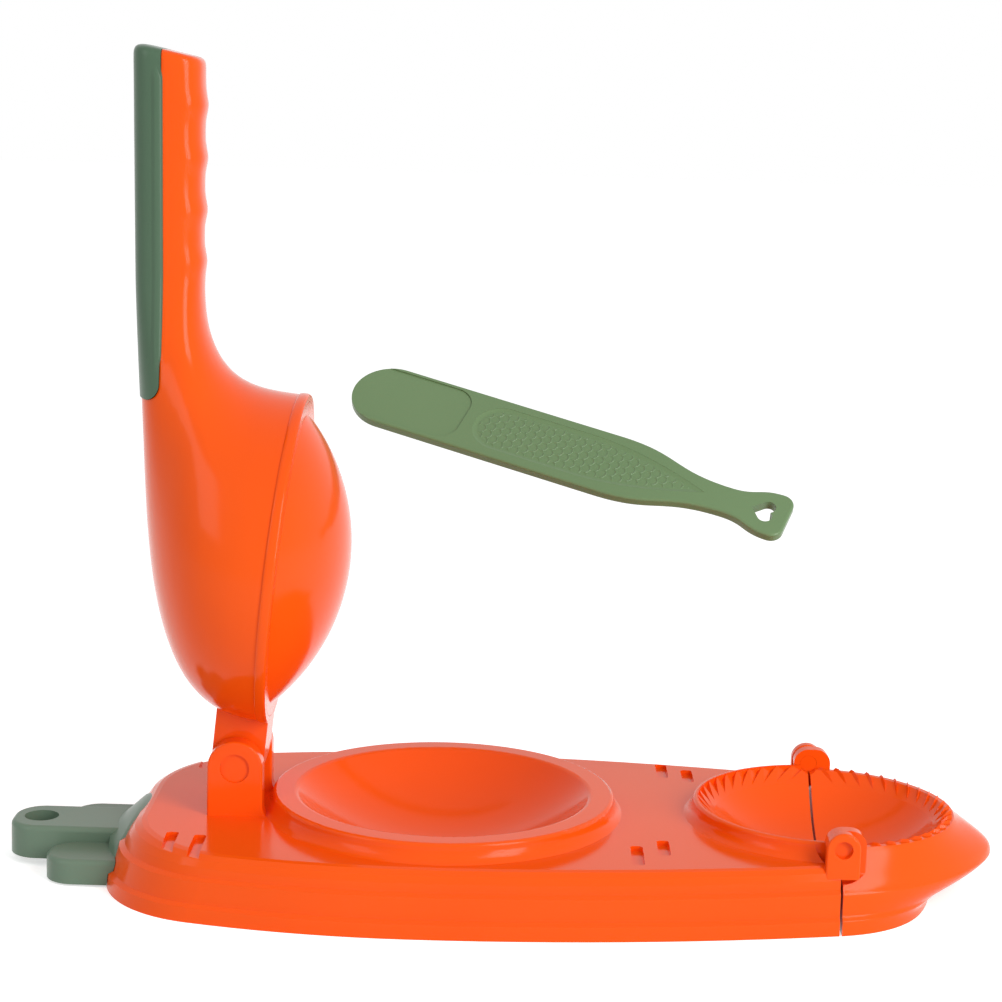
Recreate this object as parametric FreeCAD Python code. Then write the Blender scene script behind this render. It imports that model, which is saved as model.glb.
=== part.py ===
import FreeCAD, Part
import math
import os

# Carrot-shaped dumpling maker: a tray with a pressing dish and half of a pleating mould, a hinged
# press arm, a folding mould flap, a leaf with a hanging hole and a loose spatula.
# Millimetres. X runs along the tray to its nose, Y across it, Z up. The origin is on the table
# under the middle of the dish. The arm and the flap are shown open.

# Tray outline at the table, seen from above
half_width = 66.1
widest_x = -8.0
right_side_radius = 620.0
left_side_radius = 270.0
left_end_x = -105.3
left_corner_radius = 40.0
shoulder_x = 124.0
skirt_end_x = 157.0
nose_tip_x = 177.3
nose_foot_z = 2.0
nose_round_angle = 25.0

# Tray skirt, from the table up
top_z = 20.4
tier_low_z = 4.6
tier_high_z = 12.6
tier_height = 1.0
tier_step = 1.2
wall_draft = 0.04
edge_roll_height = 4.0
edge_roll_width = 3.2
left_lean = 6.0
tray_wall = 2.2
edge_roll_turns = (0, 35, 65, 90)

# Pressing dish
dish_rim_radius = 55.0
dish_rim_z = 26.2
bowl_radius = 47.35
bowl_depth = 19.6
dish_foot_spread = 3.2
dish_foot_radius = 15.0
bowl_edge_round = 2.0
rim_round = 1.2
ring_sink = 0.25
ring_knee = (0.22, 0.36)

# Pleating mould
mould_x = 122.8
mould_rim_radius = 42.1
mould_rim_z = 25.9
mould_lip = 1.7
mould_lip_drop = 0.6
band_width = 5.4
band_drop = 4.4
cup_floor_z = 5.5
mould_foot_spread = 3.4
split_gap = 0.8

# Pleats of the mould: pockets in the tray's half, ridges on the flap that fold into them
pleat_count = 22
pleat_pitch = 7.5
first_pleat_angle = 8.75
pleat_twist = 8.0
pleat_lean = 0.3
pleat_margin = 0.4
pleat_run_out = 0.15
pocket_depth = 1.5
pocket_half_width = 3.0
pocket_start_half_width = 0.5
pocket_headroom = 0.7
pocket_overrun = 0.2
ridge_height = 0.9
ridge_half_width = 1.3
ridge_start_half_width = 0.35
ridge_root = 0.9
ridge_rise_length = 2.4
ridge_rim_margin = 1.3

# Flap: rings of control points about the mould's axis, close together at each tier. From the upper
# tier to the rim each ring has its share of the height and its share of the way in to the rim
flap_rim_drop = 1.3
flap_lip_round = 0.7
flap_points = 48
flap_turn = 120.0
flap_tier_shares = (0.0, 0.07, 0.3, 0.55, 0.8, 0.94, 1.0)
flap_slope = ((0.03, 0.0), (0.16, 0.07), (0.36, 0.29), (0.58, 0.58), (0.78, 0.86), (0.92, 1.0))

# Mould hinge
mould_pin_z = 26.2
mould_pin_radius = 2.75
mould_pin_sink = 1.6
mould_ear_face_y = 49.7
mould_ear_thickness = 3.8
mould_ear_radius = 5.2
mould_ear_foot_z = 17.1
flap_ear_radius = 4.9
flap_ear_thickness = 4.0
flap_ear_reach = 7.4
flap_ear_drop = 8.2
flap_notch_radius = 11.2

# Arm hinge
arm_pin_x = -65.6
arm_pin_z = 36.0
arm_pin_radius = 4.6
arm_pin_sink = 0.8
arm_ear_face_y = 17.0
arm_ear_thickness = 6.5
arm_ear_radius = 8.75
arm_ear_flare = 6.0
ear_round = 0.7
arm_closing_angle = 84.4

# Press arm, modelled closed over the dish: d runs from the pin to the handle, h up from the lip
lip_radius = 52.2
lip_centre_d = 65.9
lip_gap = 1.0
arm_wall = 2.6
arm_end_wall = 4.0
neck_radius = 8.3
neck_length = 24.0
section_points = 24

# Hood, from the lip up to the handle. Each row holds the d and h of its underside point, counted from
# the front of the lip, those of its back point, counted from the rear of the lip, how much narrower
# than the lip it is, and its squareness
hood_rows = (
    (0.0, 0.0, 0.0, 0.0, 0.0, 2.0),
    (0.0, 8.0, -0.5, 9.5, 0.4, 2.0),
    (0.4, 14.5, 3.2, 21.5, 3.2, 2.0),
    (1.9, 20.5, 15.0, 32.0, 8.2, 2.0),
    (4.6, 25.4, 34.0, 40.2, 15.6, 2.05),
    (8.6, 29.3, 58.0, 45.6, 24.4, 2.15),
    (14.2, 32.6, 83.5, 49.3, 31.6, 2.3),
    (21.6, 35.2, 108.5, 53.0, 37.4, 2.6),
)

# Handle
handle_root_d = 151.0
handle_root_slant = 6.0
handle_root_front_h = 36.7
handle_root_back_h = 56.0
handle_end_d = 219.7
handle_end_slant = 1.6
handle_end_round = 3.5
handle_half_width = 12.0
handle_squareness = 3.0
handle_back_h = 64.0
handle_front_h = 43.1
grip_ridge_count = 4
grip_first_d = 156.0
grip_pitch = 15.9
grip_ridge_height = 0.85
grip_rows = 4

# Press dome
dome_radius = 46.2
dome_height = 19.0
dome_wall = 2.2
dome_collar = 5.0
dome_seat_wall = 1.9

# Handle cover
cover_start_d = 113.0
cover_seam_h = 44.0
cover_seam_rise = 0.103
cover_end_radius = 6.0
cover_stand_out = 0.7

# Leaf
leaf_top_z = 13.2
leaf_foot_z = 2.6
leaf_tip_x = -139.4
leaf_half_width = 11.6
leaf_tip_radius = 9.5
leaf_hole_x = -130.2
leaf_hole_radius = 5.5
side_leaf_top_z = 8.6
side_leaf_foot_z = 0.8
side_leaf_x = -114.5
side_leaf_y = 20.0
side_leaf_radius = 9.8
side_leaf_flat = 0.8
collar_half_width = 26.0
collar_depth = 12.0
collar_top_z = 18.6
collar_rise = 12.0
leaf_edge_round = 1.6

# Carrot marks pressed into the top: X of the mark, then its near and far Y
mark_width = 3.8
mark_depth = 1.5
mark_round = 1.2
marks = (
    (61.0, -51.5, -34.0),
    (69.4, -42.0, -28.0),
    (73.3, 39.0, 55.0),
    (81.7, 35.0, 48.5),
    (-73.5, -58.0, -36.0),
    (-82.3, -50.0, -34.0),
    (-73.5, 36.0, 58.0),
    (-82.3, 34.0, 50.0),
)

# Ribs under the tray
rib_thickness = 1.6
rib_foot_z = 1.0
rib_angles = (30.0, 150.0, 210.0, 330.0)

# Spatula, modelled flat with its blade tip at the origin, then hung where it is shown
spatula_length = 164.5
spatula_half_width = 14.4
spatula_thickness = 3.6
spatula_tail_length = 22.5
spatula_waist_length = 44.0
spatula_neck_half_width = 6.2
spatula_tail_half_width = 10.2
spatula_tail_round = 4.5
spatula_edge_round = 0.9
pad_length = 43.0
pad_edge = 1.6
pad_corner_round = 7.6
pad_depth = 0.5
grip_recess_start = 47.0
grip_recess_margin = 8.0
grip_recess_half_width = 10.6
grip_recess_depth = 0.6
heart_from_end = 9.2
heart_lobe_radius = 2.6
heart_lobe_spread = 2.2
heart_length = 8.0
spatula_centre = (37.7, 88.0, 123.5)
spatula_tilt_back = 53.6
spatula_turn = 21.5

# Fits
seat_gap = 0.15
pin_press_gap = 0.02
pin_running_gap = 0.06
moving_gap = 0.35

# Shape helpers: the bulge of a quarter circle, and the largest distance that counts as none
quarter_bend = 1 - math.sqrt(0.5)
hair = 0.01

# A control point on its own moves a smooth surface by two thirds of its own shift
lone_point_gain = 1.5


def vector(x, y, z):
    return FreeCAD.Vector(x, y, z)


def box(low, high):
    """A block between two corners."""
    low = vector(*low)
    size = vector(*high) - low
    return Part.makeBox(size.x, size.y, size.z, low)


def cylinder_across(x, z, radius, y_from, y_to):
    """A cylinder along Y."""
    return Part.makeCylinder(radius, y_to - y_from, vector(x, y_from, z), vector(0, 1, 0))


def mirrored_in_y(shape):
    return shape.mirror(vector(0, 0, 0), vector(0, 1, 0))


def plate_across(wire, y_from, y_to):
    """Extrude a wire drawn in the plane Y=0 between two values of Y."""
    face = Part.Face(wire)
    face.translate(vector(0, y_from, 0))
    return face.extrude(vector(0, y_to - y_from, 0))


def turned_profile(x, edges):
    """Turn a closed profile of (radius, z) edges about the upright axis at x."""
    face = Part.Face(Part.Wire(edges))
    face.translate(vector(x, 0, 0))
    return face.revolve(vector(x, 0, 0), vector(0, 0, 1), 360)


def chain(points):
    """Straight edges through (radius or x, z) points in the plane Y=0."""
    spots = [vector(a, 0, b) for a, b in points]
    return [Part.makeLine(p, q) for p, q in zip(spots, spots[1:])]


def arc_in_section(start, middle, end):
    spots = [vector(a, 0, b) for a, b in (start, middle, end)]
    return Part.Arc(*spots).toShape()


def arc_in_plan(centre, radius, start, end):
    """The short arc of a circle in plan between two points on it."""
    towards = (start - centre).normalize() + (end - centre).normalize()
    middle = centre + towards.normalize() * radius
    return Part.Arc(start, middle, end).toShape()


def nose_radii(side_joint, outward, tip_x):
    """Radii of two tangent arcs from the tray's side to its tip, joined where the normal has turned."""
    turn = math.radians(nose_round_angle)
    c, s = math.cos(turn), math.sin(turn)
    run = tip_x - side_joint.x
    rise = side_joint.y
    scale = (1 - c) * (outward.y - s) - (c - outward.x) * s
    shoulder = ((1 - c) * rise - s * run) / scale
    tip = (run * (outward.y - s) - (c - outward.x) * rise) / scale
    return shoulder, tip


def upper_half_joints(inset, left_x, tip_x):
    """Centres, radii and joints of the tangent arcs on the +Y half of a tray outline."""
    left_centre = vector(widest_x, half_width - left_side_radius, 0)
    right_centre = vector(widest_x, half_width - right_side_radius, 0)
    left_radius = left_side_radius - inset
    right_radius = right_side_radius - inset
    apex = vector(widest_x, half_width - inset, 0)

    corner_x = left_x + left_corner_radius
    reach = left_radius - left_corner_radius
    corner_y = left_centre.y + math.sqrt(reach ** 2 - (corner_x - widest_x) ** 2)
    corner_centre = vector(corner_x, corner_y, 0)
    corner_joint = left_centre + (corner_centre - left_centre).normalize() * left_radius
    left_joint = vector(left_x, corner_y, 0)

    lean = math.asin((shoulder_x - widest_x) / right_side_radius)
    outward = vector(math.sin(lean), math.cos(lean), 0)
    side_joint = right_centre + outward * right_radius
    shoulder_radius, tip_radius = nose_radii(side_joint, outward, tip_x)
    shoulder_centre = side_joint - outward * shoulder_radius
    turn = math.radians(nose_round_angle)
    tip_joint = vector(tip_x - tip_radius * (1 - math.cos(turn)), tip_radius * math.sin(turn), 0)

    return [
        (shoulder_centre, shoulder_radius, tip_joint, side_joint),
        (right_centre, right_radius, side_joint, apex),
        (left_centre, left_radius, apex, corner_joint),
        (corner_centre, left_corner_radius, corner_joint, left_joint),
    ]


def tray_outline(z, inset, left_x, tip_x):
    """A closed outline of the tray at height z."""
    arcs = upper_half_joints(inset, left_x, tip_x)
    upper = [arc_in_plan(*arc) for arc in arcs]
    lower = [mirrored_in_y(edge) for edge in reversed(upper)]
    tip_joint = arcs[0][2]
    left_joint = arcs[-1][3]
    left_end = Part.makeLine(left_joint, vector(left_joint.x, -left_joint.y, 0))
    tip = Part.Arc(vector(tip_joint.x, -tip_joint.y, 0), vector(tip_x, 0, 0), tip_joint).toShape()
    wire = Part.Wire(Part.__sortEdges__(upper + [left_end] + lower + [tip]))
    wire.translate(vector(0, 0, z))
    return wire


def skirt_inset(z):
    """How far the skirt has drawn in at height z, below its rolled edge."""
    steps = sum(min(max((z - tier) / tier_height, 0), 1) for tier in (tier_low_z, tier_high_z))
    return wall_draft * z + tier_step * steps


def skirt_heights():
    """Heights and insets of the skirt, from the table to the top."""
    corners = (0, tier_low_z, tier_low_z + tier_height, tier_high_z, tier_high_z + tier_height)
    heights = [(z, skirt_inset(z)) for z in corners]
    for turn in edge_roll_turns:
        angle = math.radians(turn)
        z = top_z - edge_roll_height * (1 - math.sin(angle))
        heights.append((z, skirt_inset(top_z) + edge_roll_width * (1 - math.cos(angle))))
    return heights


def nose_reach(z):
    """X of the tip at height z: the nose swells out over the skirt's foot up to the upper tier."""
    share = min(max((z - nose_foot_z) / (tier_high_z - nose_foot_z), 0), 1)
    return skirt_end_x + (nose_tip_x - skirt_end_x) * share ** 2 * (3 - 2 * share)


def left_reach(z, inset):
    return left_end_x + inset + left_lean * (z / top_z) ** 2


def tray_blank():
    """The outer form of tray and flap together, without dish or mould."""
    outlines = []
    for z, inset in skirt_heights():
        outlines.append(tray_outline(z, inset, left_reach(z, inset), nose_reach(z)))
    return Part.makeLoft(outlines, True, True)


def tray_cavity():
    """The hollow under the top, open at the table."""
    levels = ((-tray_wall, 0.0), (tier_high_z, skirt_inset(tier_high_z)),
              (top_z - tray_wall, skirt_inset(top_z) + edge_roll_width))
    outlines = []
    for z, inset in levels:
        grown = inset + tray_wall
        left_x = left_reach(max(z, 0), grown)
        outlines.append(tray_outline(z, grown, left_x, skirt_end_x - tray_wall))
    return Part.makeLoft(outlines, True, True)


def raised_ring(x, rim_radius, rim_z, spread):
    """A solid drum that rises from the tray top to a rim, with a hollow curve at its foot."""
    foot_radius = rim_radius + spread
    foot_z = top_z - ring_sink
    knee = (rim_radius + ring_knee[0] * spread, foot_z + ring_knee[1] * (rim_z - foot_z))
    shoulder = (rim_radius, rim_z - rim_round)
    crown = (rim_radius - quarter_bend * rim_round, rim_z - quarter_bend * rim_round)
    rim = (rim_radius - rim_round, rim_z)
    edges = chain([(0, tier_high_z), (foot_radius, tier_high_z), (foot_radius, foot_z)])
    edges.append(arc_in_section((foot_radius, foot_z), knee, shoulder))
    edges.append(arc_in_section(shoulder, crown, rim))
    edges += chain([rim, (0, rim_z), (0, tier_high_z)])
    return turned_profile(x, edges)


def bowl_sphere_radius():
    return (bowl_radius ** 2 + bowl_depth ** 2) / (2 * bowl_depth)


def bowl_space(offset):
    """The space inside the dish, grown downwards by offset."""
    centre_z = dish_rim_z - bowl_depth + bowl_sphere_radius()
    radius = bowl_sphere_radius() + offset
    rim_reach = math.sqrt(radius ** 2 - (centre_z - dish_rim_z) ** 2)
    middle_reach = rim_reach / 2
    middle_z = centre_z - math.sqrt(radius ** 2 - middle_reach ** 2)
    ceiling = dish_rim_z + bowl_depth
    edges = [arc_in_section((0, centre_z - radius), (middle_reach, middle_z), (rim_reach, dish_rim_z))]
    edges += chain([(rim_reach, dish_rim_z), (rim_reach, ceiling), (0, ceiling), (0, centre_z - radius)])
    return turned_profile(0, edges)


def bowl_with_rounded_edge():
    """The space inside the dish, flared so that the dish's inner edge is round."""
    radius, q = bowl_sphere_radius(), bowl_edge_round
    centre = vector(0, 0, dish_rim_z - bowl_depth + radius)
    round_z = dish_rim_z - q
    round_reach = math.sqrt((radius + q) ** 2 - (centre.z - round_z) ** 2)
    round_centre = vector(round_reach, 0, round_z)
    joint = centre + (round_centre - centre) * (radius / (radius + q))
    top = vector(round_reach, 0, dish_rim_z)
    middle = round_centre + ((joint - round_centre) + (top - round_centre)).normalize() * q
    half = joint.x / 2
    floor_z = centre.z - radius
    edges = [arc_in_section((0, floor_z), (half, centre.z - math.sqrt(radius ** 2 - half ** 2)), (joint.x, joint.z))]
    edges.append(Part.Arc(joint, middle, top).toShape())
    ceiling = dish_rim_z + bowl_depth
    edges += chain([(top.x, top.z), (top.x, ceiling), (0, ceiling), (0, floor_z)])
    return turned_profile(0, edges)


def cup_space(offset):
    """The space inside the mould cup, grown downwards by offset."""
    inner, inner_z, outer, outer_z = pleat_band()
    floor_z = cup_floor_z - offset
    foot_z = inner_z - offset
    depth = foot_z - floor_z
    radius = (inner ** 2 + depth ** 2) / (2 * depth)
    half = inner / 2
    half_z = floor_z + radius - math.sqrt(radius ** 2 - half ** 2)
    foot = (inner + offset / 2, foot_z)
    band = (outer + offset / 2, outer_z - offset)
    ceiling = mould_rim_z + cup_floor_z
    edges = [arc_in_section((0, floor_z), (half, half_z), (inner, foot_z))]
    if offset:
        edges += chain([(inner, foot_z), foot])
    edges += chain([foot, band, (band[0], ceiling), (0, ceiling), (0, floor_z)])
    return turned_profile(mould_x, edges)


def pleat_bar(stations, twist):
    """A slanted three-sided bar: each station holds radius, half width, root height and tip height."""
    inner, outer = stations[0][0], stations[-1][0]
    triangles = []
    for radius, half_width, root_z, tip_z in stations:
        angle = math.radians(twist * (0.5 - (radius - inner) / (outer - inner)))
        along = vector(math.cos(angle), math.sin(angle), 0)
        aside = vector(-math.sin(angle), math.cos(angle), 0)
        half = aside * half_width
        root = along * radius + vector(0, 0, root_z)
        tip = along * radius - half * pleat_lean + vector(0, 0, tip_z)
        triangles.append(Part.makePolygon([root - half, root + half, tip, root - half]))
    return Part.makeLoft(triangles, True, True)


def pleat_pocket():
    """A pocket of the tray's half: it opens from a point on the band to its full width at the lip."""
    inner, inner_z, outer, outer_z = pleat_band()
    start = inner + pleat_margin
    start_z = inner_z + pleat_margin * band_drop / band_width
    stations = (
        (start, pocket_start_half_width, start_z + pocket_headroom, start_z + pleat_run_out),
        (outer + pocket_overrun, pocket_half_width, outer_z + pocket_headroom, outer_z - pocket_depth),
    )
    return pleat_bar(stations, pleat_twist)


def pleat_ridge():
    """A ridge of the flap: it rises out of the band, crosses the rim and ends short of its edge."""
    inner, inner_z = pleat_band()[:2]
    slope = band_drop / band_width
    rim_z = mould_rim_z - flap_rim_drop
    start = inner + pleat_margin
    full = start + ridge_rise_length
    rim = inner + (rim_z - inner_z) / slope
    end = mould_rim_radius - ridge_rim_margin
    start_z = inner_z + pleat_margin * slope
    full_z = start_z + ridge_rise_length * slope
    stations = (
        (start, ridge_start_half_width, start_z - ridge_root, start_z - pleat_run_out),
        (full, ridge_half_width, full_z - ridge_root, full_z + ridge_height),
        (rim, ridge_half_width, rim_z - ridge_root, rim_z + ridge_height),
        (end, ridge_half_width, rim_z - ridge_root, rim_z + ridge_height),
    )
    return pleat_bar(stations, -pleat_twist)


def pleats(bar, side):
    """Copies of a pleat round one half of the mould: -1 is the tray's half, 1 is the flap's."""
    ring = []
    for number in range(pleat_count):
        copy = bar.copy()
        angle = 90 - side * (first_pleat_angle + number * pleat_pitch)
        copy.rotate(vector(0, 0, 0), vector(0, 0, 1), angle)
        copy.translate(vector(mould_x, 0, 0))
        ring.append(copy)
    return ring


def pleat_band():
    """Radii and heights of the inner and outer ends of the pleat band."""
    outer = mould_rim_radius - mould_lip
    outer_z = mould_rim_z - mould_lip_drop
    return outer - band_width, outer_z - band_drop, outer, outer_z


def split_block(side):
    """Everything on one side of the split through the mould: -1 is the tray, 1 is the flap."""
    far = 2 * nose_tip_x
    edge = mould_x + side * split_gap / 2
    low_x, high_x = (edge - far, edge) if side < 0 else (edge, edge + far)
    return box((low_x, -far, -far), (high_x, far, far))


def hollow_under(side):
    """The hollow under one side of the split, with a wall left at the split and round dish and cup."""
    block = split_block(side)
    block.translate(vector(side * tray_wall, 0, 0))
    hollow = tray_cavity()
    if side < 0:
        ring = Part.makeCylinder(dish_rim_radius - tray_wall, dish_rim_z - tray_wall)
        hollow = hollow.fuse(ring).cut(bowl_space(tray_wall))
    hollow = hollow.cut(cup_space(tray_wall))
    return hollow.common(block)


def upright_ear(x, z, radius, foot_z, flare):
    """Outline of a hinge ear: a round top on straight sides, flared towards +X at its foot."""
    right = x + radius
    bend = flare * quarter_bend
    edges = [arc_in_section((x - radius, z), (x, z + radius), (right, z))]
    edges += chain([(right, z), (right, foot_z + flare)])
    edges.append(arc_in_section((right, foot_z + flare), (right + bend, foot_z + bend), (right + flare, foot_z)))
    edges += chain([(right + flare, foot_z), (x - radius, foot_z), (x - radius, z)])
    return Part.Wire(edges)


def ear_plate(outline, face_y, thickness):
    """A hinge ear on the near side: a plate with soft edges except along its foot."""
    plate = plate_across(outline, -face_y, -face_y + thickness)
    foot_z = plate.BoundBox.ZMin
    rims = [edge for edge in plate.Edges
            if edge.BoundBox.YLength < hair and edge.BoundBox.ZMax > foot_z + hair]
    return plate.makeFillet(ear_round, rims)


def arm_ears():
    """The pair of ears that carry the arm's pin."""
    outline = upright_ear(arm_pin_x, arm_pin_z, arm_ear_radius, top_z - tray_wall, arm_ear_flare)
    ear = ear_plate(outline, arm_ear_face_y, arm_ear_thickness)
    return ear.fuse(mirrored_in_y(ear))


def mould_ear():
    """The tray's front ear of the mould hinge: it overhangs the split."""
    x, radius = mould_x, mould_ear_radius
    edges = [arc_in_section((x - radius, mould_pin_z), (x, mould_pin_z + radius), (x + radius, mould_pin_z))]
    edges += chain([(x + radius, mould_pin_z), (x + radius, mould_ear_foot_z),
                    (x - radius, mould_ear_foot_z), (x - radius, mould_pin_z)])
    return ear_plate(Part.Wire(edges), mould_ear_face_y, mould_ear_thickness)


def flap_ear_faces():
    """Outer and inner Y of the flap's front ear."""
    outer = -mould_ear_face_y + mould_ear_thickness + moving_gap
    return outer, outer + flap_ear_thickness


def flap_ear():
    """The flap's front ear: an eye on the hinge axis, drawn out towards the nose and down into the flap."""
    x, z, radius = mould_x, mould_pin_z, flap_ear_radius
    right = x + flap_ear_reach
    bend = radius * quarter_bend
    low_z = z - flap_ear_drop
    edges = [arc_in_section((x, z - radius), (x - radius, z), (x, z + radius))]
    edges += chain([(x, z + radius), (right - radius, z + radius)])
    edges.append(arc_in_section((right - radius, z + radius), (right - bend, z + radius - bend), (right, z)))
    edges += chain([(right, z), (right, low_z), (x, low_z), (x, z - radius)])
    outer, inner = flap_ear_faces()
    return plate_across(Part.Wire(edges), outer, inner)


def leaf_seat(gap):
    """The arched pocket in the left end of the tray that the leaf's collar fills."""
    half = collar_half_width + gap
    crown = collar_top_z + gap
    spring_z = crown - collar_rise
    edges = [Part.Arc(vector(0, -half, spring_z), vector(0, 0, crown), vector(0, half, spring_z)).toShape()]
    corners = [vector(0, half, spring_z), vector(0, half, -gap), vector(0, -half, -gap), vector(0, -half, spring_z)]
    edges += [Part.makeLine(p, q) for p, q in zip(corners, corners[1:])]
    face = Part.Face(Part.Wire(edges))
    start = left_end_x - tray_wall
    face.translate(vector(start, 0, 0))
    return face.extrude(vector(collar_depth + tray_wall + gap, 0, 0))


def carrot_marks():
    """Shallow straight marks in the tray top, with round corners."""
    cutters = []
    for x, near_y, far_y in marks:
        low = (x - mark_width / 2, near_y, top_z - mark_depth)
        cutter = box(low, (x + mark_width / 2, far_y, dish_rim_z))
        uprights = [edge for edge in cutter.Edges if edge.BoundBox.ZLength > mark_depth]
        cutters.append(cutter.makeFillet(mark_round, uprights))
    return cutters


def tray_ribs():
    """Ribs from the dish's foot out to the skirt, and the foot itself."""
    ribs = Part.makeCylinder(dish_foot_radius, dish_rim_z - bowl_depth)
    for angle in rib_angles:
        rib = box((0, -rib_thickness / 2, rib_foot_z), (nose_tip_x, rib_thickness / 2, top_z - tray_wall / 2))
        rib.rotate(vector(0, 0, 0), vector(0, 0, 1), angle)
        ribs = ribs.fuse(rib)
    return ribs


def base_shell():
    blank = tray_blank().common(split_block(-1))
    blank = blank.fuse(raised_ring(0, dish_rim_radius, dish_rim_z, dish_foot_spread))
    ring = raised_ring(mould_x, mould_rim_radius, mould_rim_z, mould_foot_spread)
    blank = blank.fuse(ring.common(split_block(-1)))
    hollow = hollow_under(-1)
    ribs = tray_ribs().common(hollow)
    shell = blank.cut(hollow).fuse(ribs)
    shell = shell.cut(leaf_seat(seat_gap))
    shell = shell.fuse([arm_ears(), mould_ear(), mirrored_in_y(mould_ear())])
    shell = shell.cut([bowl_with_rounded_edge(), cup_space(0)] + carrot_marks())
    eye_room = cylinder_across(mould_x, mould_pin_z, flap_ear_reach + moving_gap,
                               flap_ear_faces()[0] - moving_gap, flap_ear_faces()[1] + moving_gap)
    shell = shell.cut([eye_room, mirrored_in_y(eye_room)])
    shell = shell.cut(pleats(pleat_pocket(), -1))
    far = 2 * half_width
    arm_bore = cylinder_across(arm_pin_x, arm_pin_z, arm_pin_radius + pin_press_gap, -far, far)
    mould_bore = cylinder_across(mould_x, mould_pin_z, mould_pin_radius + pin_press_gap, -far, far)
    return shell.cut([arm_bore, mould_bore])


def plan_angle(point):
    """Angle of a point in plan about the mould's axis, counted from the nose."""
    return math.atan2(point.y, point.x - mould_x)


def reach_to_arc(angle, centre, radius):
    """From the mould's axis, at an angle from the nose, out to an arc of the tray's outline."""
    away = vector(mould_x, 0, 0) - centre
    lean = away.dot(vector(math.cos(angle), math.sin(angle), 0))
    return math.sqrt(lean ** 2 - away.Length ** 2 + radius ** 2) - lean


def flap_reach(angle, inset, tip_x):
    """From the mould's axis out to the tray's outline: round the tip, the shoulder and the side."""
    shoulder, side = upper_half_joints(inset, left_end_x, tip_x)[:2]
    tip_joint, side_joint = shoulder[2:]
    if angle < plan_angle(tip_joint):
        tip_radius = tip_joint.y / math.sin(math.radians(nose_round_angle))
        return reach_to_arc(angle, vector(tip_x - tip_radius, 0, 0), tip_radius)
    arc = shoulder if angle < plan_angle(side_joint) else side
    return reach_to_arc(angle, *arc[:2])


def flap_levels():
    """Height of each control ring of the flap, its share of the way in to the rim and its rounding."""
    levels = []
    for low, high in ((0, tier_low_z), (tier_low_z + tier_height, tier_high_z)):
        levels += [(low + share * (high - low), 0, 0) for share in flap_tier_shares]
    low = tier_high_z + tier_height
    rim_z = mould_rim_z - flap_rim_drop
    levels += [(low + share * (rim_z - low), drawn_in, 0) for share, drawn_in in flap_slope]
    return levels + [(rim_z, 1, flap_lip_round)]


def flap_blank():
    """The flap's outer form: the tray's nose below, drawn in to the mould's round rim above."""
    pull = control_pull(flap_points)
    rings = []
    for z, drawn_in, rounding in flap_levels():
        ring = []
        for number in range(flap_points):
            angle = 2 * math.pi * number / flap_points
            side_angle = min(angle, 2 * math.pi - angle, math.radians(flap_turn))
            outline = flap_reach(side_angle, skirt_inset(z), nose_reach(z))
            reach = (outline + (mould_rim_radius - outline) * drawn_in - rounding) * pull
            ring.append(vector(mould_x + reach * math.cos(angle), reach * math.sin(angle), z))
        rings.append(ring)
    return skinned(rings)


def mould_flap():
    flap = flap_blank().common(split_block(1)).cut(hollow_under(1))
    ear = flap_ear()
    notch = cylinder_across(mould_x, mould_pin_z, flap_notch_radius,
                            -mould_ear_face_y - moving_gap, flap_ear_faces()[0])
    over_wall = box((mould_x, -half_width, mould_ear_foot_z),
                    (mould_x + mould_ear_radius + moving_gap, flap_ear_faces()[0], dish_rim_z))
    cutters = [notch, over_wall]
    flap = flap.cut(cutters + [mirrored_in_y(cutter) for cutter in cutters])
    flap = flap.fuse([ear, mirrored_in_y(ear)])
    flap = flap.cut(cup_space(0))
    flap = flap.fuse(pleats(pleat_ridge(), 1))
    far = 2 * half_width
    return flap.cut(cylinder_across(mould_x, mould_pin_z, mould_pin_radius + pin_running_gap, -far, far))


def mould_hinge_pin():
    """The front pin of the mould hinge."""
    inner = flap_ear_faces()[1]
    return cylinder_across(mould_x, mould_pin_z, mould_pin_radius, -mould_ear_face_y + mould_pin_sink, inner)


def arm_hinge_pin():
    reach = arm_ear_face_y - arm_pin_sink
    return cylinder_across(arm_pin_x, arm_pin_z, arm_pin_radius, -reach, reach)


def leaf_lobe(x_from, x_tip, y, half, tip_radius, low_z, high_z):
    """One rounded lobe of the leaf."""
    start = vector(x_from, y - half, low_z)
    corner = tip_radius * quarter_bend
    near = [vector(x_tip + tip_radius, y - half, low_z), vector(x_tip + corner, y - half + corner, low_z),
            vector(x_tip, y - half + tip_radius, low_z)]
    far = [vector(p.x, 2 * y - p.y, p.z) for p in reversed(near)]
    end = vector(x_from, y + half, low_z)
    edges = [Part.makeLine(start, near[0]), Part.Arc(*near).toShape(), Part.makeLine(near[2], far[0]),
             Part.Arc(*far).toShape(), Part.makeLine(far[2], end), Part.makeLine(end, start)]
    lobe = Part.Face(Part.Wire(edges)).extrude(vector(0, 0, high_z - low_z))
    rims = [edge for edge in lobe.Edges if edge.BoundBox.ZMin > high_z - hair and edge.BoundBox.XMin < x_from - hair]
    return lobe.makeFillet(leaf_edge_round, rims)


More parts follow.
